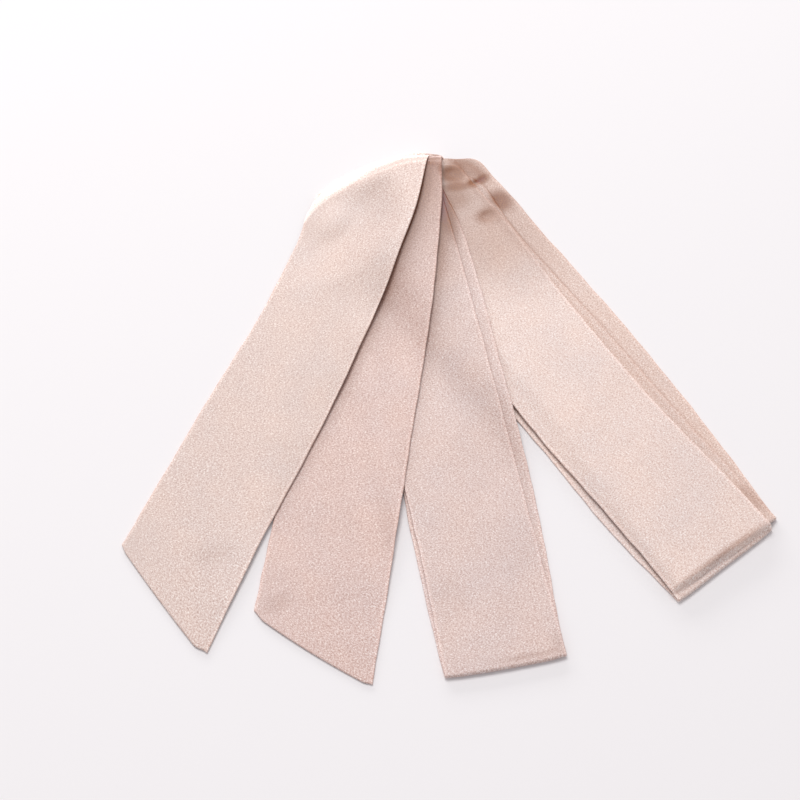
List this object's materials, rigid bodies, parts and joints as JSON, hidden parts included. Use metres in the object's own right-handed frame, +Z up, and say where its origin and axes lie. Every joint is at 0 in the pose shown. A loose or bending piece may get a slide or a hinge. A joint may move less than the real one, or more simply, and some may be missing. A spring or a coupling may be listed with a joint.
{
  "type": "waist sash",
  "caption": "Long flat satin waist sash, folded in half again and again, fanned out from its gathered top and laid flat on a surface, with slanted free ends.",
  "frame": {"origin": "on the surface that the sash lies on, at the middle of its outline", "axes": "+Z up out of the surface, +Y from the free ends towards the gathered top of the fan, +X towards the side where the thickest pile lies"},
  "size_m": [0.3471, 0.3242, 0.0104],
  "materials": {
    "left_end_satin": "crepe-back satin, pale rose beige",
    "right_end_satin": "crepe-back satin, pale rose beige",
    "middle_loop_satin": "crepe-back satin, pale rose beige",
    "outer_loop_satin": "crepe-back satin, pale rose beige",
    "inner_loop_satin": "crepe-back satin, pale rose beige"
  },
  "bodies": {
    "root": {"left_end": "left_end_satin", "right_end": "right_end_satin", "middle_loop": "middle_loop_satin", "outer_loop": "outer_loop_satin", "inner_loop": "inner_loop_satin"}
  },
  "joints": []
}
